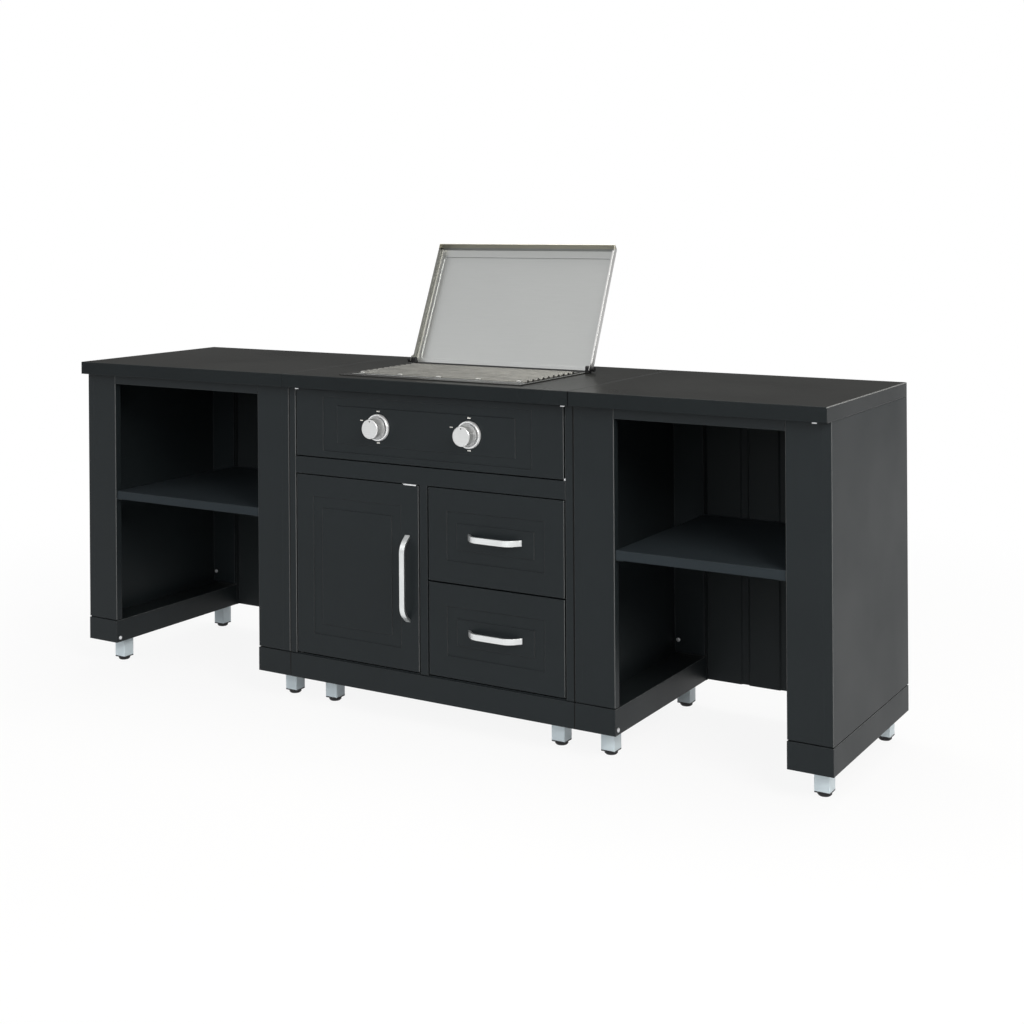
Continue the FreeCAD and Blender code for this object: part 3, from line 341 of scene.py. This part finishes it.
FINISHES = {
    "cabinet_coat": powder_coat("charcoal_coat", CHARCOAL, rough=0.42, dust=0.012, specular=0.165, edge_highlight=0.28),
    "worktop_coat": powder_coat("worktop_coat", WORKTOP_BLACK, rough=0.30, grain=700.0, dust=0.010,
                                specular=0.068, edge_highlight=0.10, sharp=1.0),
    "firebox_enamel": powder_coat("black_enamel", (0.0150, 0.0150, 0.0142), rough=0.26, grain=500.0,
                                  dust=0.02, specular=0.40, peel=0.25),
    "leg_silver": powder_coat("silver_coat", (0.62, 0.71, 0.76), rough=0.34, grain=1200.0, dust=0.02,
                              specular=0.5, peel=0.2),
    "box_grey": powder_coat("drawer_box_grey", (0.055, 0.060, 0.062), rough=0.5),
    "hinge_black": powder_coat("hinge_black", (0.010, 0.010, 0.011), rough=0.45),
    "foot_black": moulded("foot_rubber", (0.012, 0.012, 0.013), rough=0.6),
    "white_ceramic": moulded("white_ceramic", (0.82, 0.81, 0.77), rough=0.25, specular=0.5),
    "bright_zinc": brushed_metal("bright_zinc", (0.76, 0.77, 0.79), rough=0.40, along="Y", metallic=0.7),
    "handle_satin": brushed_metal("satin_handle", (0.80, 0.82, 0.82), rough=0.42, along="XZ",
                                  spread=0.06, contrast=0.05),
    "knob_metal": brushed_metal("satin_knob", (0.68, 0.69, 0.69), rough=0.34, along="X",
                                spread=0.08, contrast=0.05, metallic=0.7),
    "valve_brass": brushed_metal("valve_brass", (0.66, 0.47, 0.20), rough=0.38, along="Y"),
    "pipe_steel": brushed_metal("drawn_pipe", (0.36, 0.37, 0.38), rough=0.45, along="X"),
    "stainless": brushed_metal("brushed_stainless", (0.52, 0.53, 0.52), rough=0.34, along="X", spread=0.08),
    "plate_steel": brushed_metal("ground_plate", (0.234, 0.232, 0.216), rough=0.40, along="X",
                                 spread=0.22, contrast=0.45, strength=1.0, relief=0.0006),
}

# The shelves take a lighter copy of the charcoal coat: painted light from the front. The back panels take
# another lighter copy.
lit_shelf_coat = powder_coat("lit_shelf_coat", (0.0200, 0.0260, 0.0305), rough=0.55, dust=0.010, specular=0.08,
                         edge_highlight=0.15)
wall_coat = powder_coat("wall_coat", CHARCOAL, rough=0.42, dust=0.012, specular=0.165, edge_highlight=0.22)
inside_coat = powder_coat("inside_coat", (0.0170, 0.0205, 0.0220), rough=0.50, dust=0.010, specular=0.12)

# These nodes get a finish of their own in place of their slot's
OWN_FINISHES = {
    "lid": brushed_metal("lid_stainless", (0.485, 0.496, 0.490), rough=0.44, along="X",
                         spread=0.03, contrast=0.03, strength=0.06, fold=0.0),
    "knob_bezels": brushed_metal("chrome_ring", (0.90, 0.91, 0.92), rough=0.34, along="X",
                                 spread=0.02, contrast=0.01, strength=0.05, metallic=0.6),
}
for side in SIDES:
    OWN_FINISHES[side + "_shelf"] = lit_shelf_coat
    OWN_FINISHES[side + "_back_panel"] = inside_coat
    OWN_FINISHES[side + "_outer_wall"] = wall_coat
    OWN_FINISHES[side + "_inner_wall"] = wall_coat

node_slots = {entry["node"]: entry["material_slot"] for entry in frame["record"]["subparts"]}
for node_name, node_object in cad.items():
    finish = OWN_FINISHES.get(node_name) or FINISHES[node_slots[node_name]]
    for index in range(len(node_object.material_slots)):
        node_object.material_slots[index].material = finish
    if not node_object.material_slots:
        node_object.data.materials.append(finish)


# Painted light on the finishes: glints, highlights, painted shade and a warm cast

def repaint(material, mask, colour, blend="MIX"):
    """Puts one more colour over a finish where the mask is set."""
    tree = material.node_tree
    base = tree.nodes["Principled BSDF"].inputs["Base Color"]
    tree.links.new(mix_colour(tree, mask, base.links[0].from_socket, colour, blend), base)


def above(tree, value, limit):
    """A mask of 1 where the value is above the limit."""
    return math_node(tree, "GREATER_THAN", value, limit)


def below(tree, value, limit):
    """A mask of 1 where the value is below the limit."""
    return math_node(tree, "LESS_THAN", value, limit)


def both(tree, first, second):
    """A mask where two masks overlap."""
    return math_node(tree, "MULTIPLY", first, second)


def paint_lug_glints(material):
    """The small lugs along the front of the cooking plate get a painted glint."""
    low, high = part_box("griddle_plate")
    lug_length = 0.0085
    lug_thickness = 0.0037
    tree = material.node_tree
    place = axes_of(tree, object_place(tree))
    in_front = below(tree, place["Y"], low.y + lug_length)
    on_top = above(tree, place["Z"], high.z - lug_thickness)
    # painted glint on the lugs
    repaint(material, both(tree, in_front, on_top), (0.80, 0.80, 0.78))


def paint_lid_rim_light(material):
    """Painted light on the lid's rim: a browner lip as a painted reflection of the ground, painted shade on
    the left cheek and a painted highlight on the right.
    """
    low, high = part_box("lid")
    left_hem = 0.0065
    right_hem = 0.0045
    lip_depth = 0.0125
    tree = material.node_tree
    place = axes_of(tree, object_place(tree))
    # painted shade on the left cheek, a painted highlight on the right cheek and a painted reflection on the
    # lip
    repaint(material, below(tree, place["X"], low.x + left_hem), (0.20, 0.20, 0.185))
    repaint(material, above(tree, place["X"], high.x - right_hem), (0.72, 0.72, 0.71))
    repaint(material, above(tree, place["Z"], high.z - lip_depth), (0.62, 0.60, 0.51))


def paint_right_end_highlight(material):
    """The top edge of the station's right end gets a painted highlight."""
    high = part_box("right_worktop")[1]
    highlight_width = 0.0018
    highlight_depth = 0.0022
    tree = material.node_tree
    place = axes_of(tree, object_place(tree))
    at_end = above(tree, place["X"], high.x - highlight_width)
    at_top = above(tree, place["Z"], high.z - highlight_depth)
    # painted highlight on the top edge of the right end
    repaint(material, both(tree, at_end, at_top), (0.20, 0.205, 0.205))


def paint_warm_top_light(material):
    """The faces of the worktops that look up are painted a little browner than their folds: a painted warm
    cast of the light from above.
    """
    nearly_level = 0.98
    tree = material.node_tree
    flat = add_node(tree, "NewGeometry").outputs["True Normal"]
    looks_up = above(tree, axes_of(tree, flat)["Z"], nearly_level)
    # painted warm light on the faces that look up
    repaint(material, looks_up, (1.02, 0.89, 0.77), "MULTIPLY")


def shade_seam(material, start, end, front, colour):
    """Paints the front of an upright seam from one X to another."""
    tree = material.node_tree
    place = axes_of(tree, object_place(tree))
    at_seam = both(tree, above(tree, place["X"], start), below(tree, place["X"], end))
    repaint(material, both(tree, at_seam, below(tree, place["Y"], front)), colour)


def shade_seams():
    """Painted shade in the gaps where the cabinets meet. The left worktop joint doesn't show."""
    dark = (0.0015, 0.0018, 0.0020)
    half_dark = (0.005, 0.006, 0.007)
    worktop_low, worktop_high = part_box("centre_worktop")
    left = worktop_low.x
    right = worktop_high.x
    fold_front = worktop_low.y + 0.008
    wall_front = PANEL_FRONT + 0.006
    # painted shade in the seams; the left worktop joint takes the coat's own colour
    shade_seam(FINISHES["worktop_coat"], right - 0.0020, right + 0.0020, fold_front, half_dark)
    shade_seam(FINISHES["worktop_coat"], left - 0.0040, left + 0.0040, fold_front, WORKTOP_BLACK)
    shade_seam(FINISHES["cabinet_coat"], left - 0.0005, left + 0.0040, wall_front, dark)
    shade_seam(FINISHES["cabinet_coat"], right - 0.0030, right + 0.0005, wall_front, dark)
    shade_seam(wall_coat, right - 0.0005, right + 0.0010, wall_front, dark)


# painted light: glints on the lugs, light and shade on the lid's rim, a highlight on the right end, a warm
# cast on the top and shade in the seams
paint_lug_glints(FINISHES["plate_steel"])
paint_lid_rim_light(OWN_FINISHES["lid"])
paint_right_end_highlight(FINISHES["worktop_coat"])
paint_warm_top_light(FINISHES["worktop_coat"])
shade_seams()


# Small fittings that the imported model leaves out

def new_object(name, mesh, material):
    """Turns a bmesh into an object with one material."""
    data = bpy.data.meshes.new(name)
    mesh.to_mesh(data)
    mesh.free()
    data.materials.append(material)
    made = bpy.data.objects.new(name, data)
    bpy.context.scene.collection.objects.link(made)
    return made


def new_piece(name, mesh, body, slot_name):
    """A fitting that rides on a body and takes the finish of a slot."""
    piece = new_object(name, mesh, FINISHES[slot_name])
    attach(piece, body)


def soften(mesh, corners, offset, segments):
    """Bevels every edge between some corners."""
    edges = [edge for edge in mesh.edges if edge.verts[0] in corners]
    bmesh.ops.bevel(mesh, geom=edges, offset=offset, segments=segments, affect="EDGES", profile=0.5)


def add_bar(mesh, centre, size, bevel):
    """A small bar with rounded edges."""
    corners = bmesh.ops.create_cube(mesh, size=1.0)["verts"]
    bmesh.ops.scale(mesh, vec=Vector(size), verts=corners)
    bmesh.ops.translate(mesh, vec=Vector(centre), verts=corners)
    soften(mesh, corners, bevel, 2)


def add_disc(mesh, centre, radius, thickness):
    """A flat round dot that faces the front."""
    spot = Matrix.Translation(Vector(centre)) @ Matrix.Rotation(math.pi / 2, 4, "X")
    made = bmesh.ops.create_cone(
        mesh, cap_ends=True, segments=24, radius1=radius, radius2=radius, depth=thickness, matrix=spot)
    soften(mesh, made["verts"], thickness * 0.2, 1)


def setting_ticks():
    """Plain printed ticks on the panel: off above, high at the left and low below each knob."""
    thick = 0.0003
    off = (0.0, 0.043, 0.010, 0.0030)
    high = (-0.0545, 0.016, 0.009, 0.0026)
    low = (0.0, -0.041, 0.010, 0.0030)
    mesh = bmesh.new()
    for x in KNOB_X.values():
        for to_right, up, width, height in (off, high, low):
            centre = (x + to_right, PANEL_FRONT - thick / 2, KNOB_Z + up)
            add_bar(mesh, centre, (width, thick, height), 0.0001)
    new_piece("setting_ticks", mesh, "station", "white_ceramic")


def pointer_dots():
    """A black dot filled into the pointer dimple of each knob."""
    dimple_height = 0.020
    depth_in_face = 0.0003
    for side in SIDES:
        mesh = bmesh.new()
        face = KNOBS[side][0].y
        centre = (KNOB_X[side], face + depth_in_face, KNOB_Z + dimple_height)
        add_disc(mesh, centre, radius=0.0019, thickness=0.0004)
        new_piece(side + "_pointer_dot", mesh, side + "_knob", "foot_black")


def panel_clips():
    """Bare spring clips at three corners of the control panel and under the right worktop."""
    thick = 0.0012
    wide, tall = 0.012, 0.0036
    low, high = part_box("control_panel")
    worktop_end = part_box("right_worktop")[1].x - 0.041
    top = high.z - tall / 2
    clips = [(x, top, wide, tall) for x in (worktop_end, low.x + wide / 2, high.x - wide / 2)]
    # the clip at the lower right corner is narrow and stands upright
    clips.append((high.x - 0.0005, low.z + 0.0010, 0.0035, 0.0050))
    mesh = bmesh.new()
    for x, z, width, height in clips:
        add_bar(mesh, (x, PANEL_FRONT - thick / 2, z), (width, thick, height), 0.0003)
    new_piece("panel_clips", mesh, "station", "bright_zinc")


def door_clip():
    """A bare clip on the door's top edge, over the plate that meets the magnetic catch."""
    thick = 0.0010
    door_low, door_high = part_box("door_panel")
    plate_low, plate_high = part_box("catch_plate")
    x = (plate_low.x + plate_high.x) / 2 + 0.003
    mesh = bmesh.new()
    add_bar(mesh, (x, door_low.y - thick / 2, door_high.z + 0.0006), (0.040, thick, 0.0034), 0.0003)
    new_piece("door_clip", mesh, "door", "bright_zinc")


setting_ticks()
pointer_dots()
panel_clips()
door_clip()


# Studio: pale floor and backdrop, soft light

WHITE = (1.0, 1.0, 1.0)
WARM = (1.0, 0.975, 0.93)
FLOOR_GREY = (0.80, 0.80, 0.80)


def add_light_shader(tree, kind, colour, strength):
    """An emission or background shader. The strength is a number or a socket."""
    light = add_node(tree, kind)
    light.inputs["Color"].default_value = (*colour, 1)
    plug(tree, strength, light.inputs["Strength"])
    return light.outputs[0]


def stage_material():
    """A near-white floor. It keeps the object's shadow and fades into the white background."""
    fade_start, fade_end = 1.3, 3.2
    near_white, full_white = 0.90, 1.0
    material = bpy.data.materials.new("studio_white")
    material.use_nodes = True
    tree = material.node_tree
    tree.nodes.clear()
    diffuse = add_node(tree, "BsdfDiffuse")
    diffuse.inputs["Color"].default_value = (*FLOOR_GREY, 1)
    glow = add_light_shader(tree, "Emission", WHITE, 1.0)
    path = add_node(tree, "LightPath").outputs
    seen = math_node(tree, "MAXIMUM", path["Is Camera Ray"], path["Is Glossy Ray"])
    seen = math_node(tree, "MAXIMUM", seen, path["Is Transmission Ray"])
    # away from the object the floor turns plain white, so no horizon shows
    distance = add_node(tree, "VectorMath", operation="LENGTH")
    tree.links.new(object_place(tree), distance.inputs[0])
    fade = map_range(tree, distance.outputs["Value"], fade_start, fade_end, near_white, full_white,
                     interpolation_type="SMOOTHSTEP")
    surface = mix_shaders(tree, math_node(tree, "MULTIPLY", seen, fade), diffuse.outputs[0], glow)
    tree.links.new(surface, add_node(tree, "OutputMaterial").inputs[0])
    return material


def build_floor():
    """A wide floor just under the feet."""
    reach = 30.0
    gap = 0.0005
    mesh = bmesh.new()
    ring = ((-reach, -reach), (reach, -reach), (reach, reach), (-reach, reach))
    mesh.faces.new([mesh.verts.new((x, y, -gap)) for x, y in ring])
    new_object("studio_floor", mesh, stage_material())


def build_world():
    """White to the camera, soft grey light, and in gloss a pale sky that darkens to the horizon."""
    soft_light = 0.37
    sky_start, sky_end = 0.10, 0.55
    horizon, zenith = 0.05, 0.72
    world = bpy.data.worlds.new("studio")
    bpy.context.scene.world = world
    world.use_nodes = True
    tree = world.node_tree
    tree.nodes.clear()
    path = add_node(tree, "LightPath").outputs
    height = axes_of(tree, add_node(tree, "TexCoord").outputs["Generated"])["Z"]
    sky = map_range(tree, height, sky_start, sky_end, horizon, zenith, interpolation_type="SMOOTHSTEP")
    ambient, mirrored, backdrop = (
        add_light_shader(tree, "Background", WHITE, strength) for strength in (soft_light, sky, 1.0))
    shiny = math_node(tree, "MAXIMUM", path["Is Glossy Ray"], path["Is Transmission Ray"])
    lit = mix_shaders(tree, shiny, ambient, mirrored)
    surface = mix_shaders(tree, path["Is Camera Ray"], lit, backdrop)
    tree.links.new(surface, add_node(tree, "OutputWorld").inputs[0])


def add_lamp(name, place, target, size, power, colour=WHITE):
    """A soft rectangular lamp that looks at a target."""
    data = bpy.data.lights.new(name, "AREA")
    data.shape = "RECTANGLE"
    data.size, data.size_y = size
    data.energy = power
    data.color = colour
    lamp = bpy.data.objects.new(name, data)
    lamp.location = place
    lamp.rotation_euler = (Vector(target) - Vector(place)).to_track_quat("-Z", "Y").to_euler()
    bpy.context.scene.collection.objects.link(lamp)


def build_lamps():
    """A warm key light and top light, and two plain ones from the front."""
    add_lamp("key_from_right", (4.2, -2.6, 3.4), (0.3, 0, 0.5), size=(2.4, 2.4), power=182, colour=WARM)
    add_lamp("fill_from_left", (-3.6, -3.8, 2.6), (0, 0, 0.5), size=(3.0, 2.0), power=30)
    add_lamp("front_soft", (0.9, -5.2, 2.3), (0, 0, 0.5), size=(4.0, 2.0), power=85)
    add_lamp("top_soft", (0.2, 0.6, 4.2), (0.1, 0, 0.9), size=(4.0, 2.0), power=95, colour=WARM)


# Camera at the photograph's viewpoint

def build_camera():
    """A camera whose place, turn and shift were fitted to the photograph's corners."""
    place = Vector((2.38274, -3.63806, 1.35190))
    yaw, pitch, roll = math.radians(31.24), math.radians(0.1727), math.radians(0.384)
    focal_px, principal_y = 1565.57, 217.97
    picture = 1024.0
    sensor = 36.0
    forward = Vector((-math.sin(yaw), math.cos(yaw), 0))
    right = Vector((math.cos(yaw), math.sin(yaw), 0))
    down = Vector((0, 0, -1))
    ahead = forward * math.cos(pitch) + down * math.sin(pitch)
    under = down * math.cos(pitch) - forward * math.sin(pitch)
    side = right * math.cos(roll) + under * math.sin(roll)
    under = under * math.cos(roll) - right * math.sin(roll)
    data = bpy.data.cameras.new("photo_view")
    data.sensor_width = sensor
    data.lens = sensor * focal_px / picture
    data.shift_y = (principal_y - picture / 2) / picture
    data.clip_start, data.clip_end = 0.05, 200.0
    camera = bpy.data.objects.new("photo_view", data)
    turn = Matrix((side, -under, -ahead)).transposed().to_4x4()
    camera.matrix_world = Matrix.Translation(place) @ turn
    bpy.context.scene.collection.objects.link(camera)
    bpy.context.scene.camera = camera


build_floor()
build_world()
build_lamps()
build_camera()
bpy.context.scene.view_settings.view_transform = "Standard"
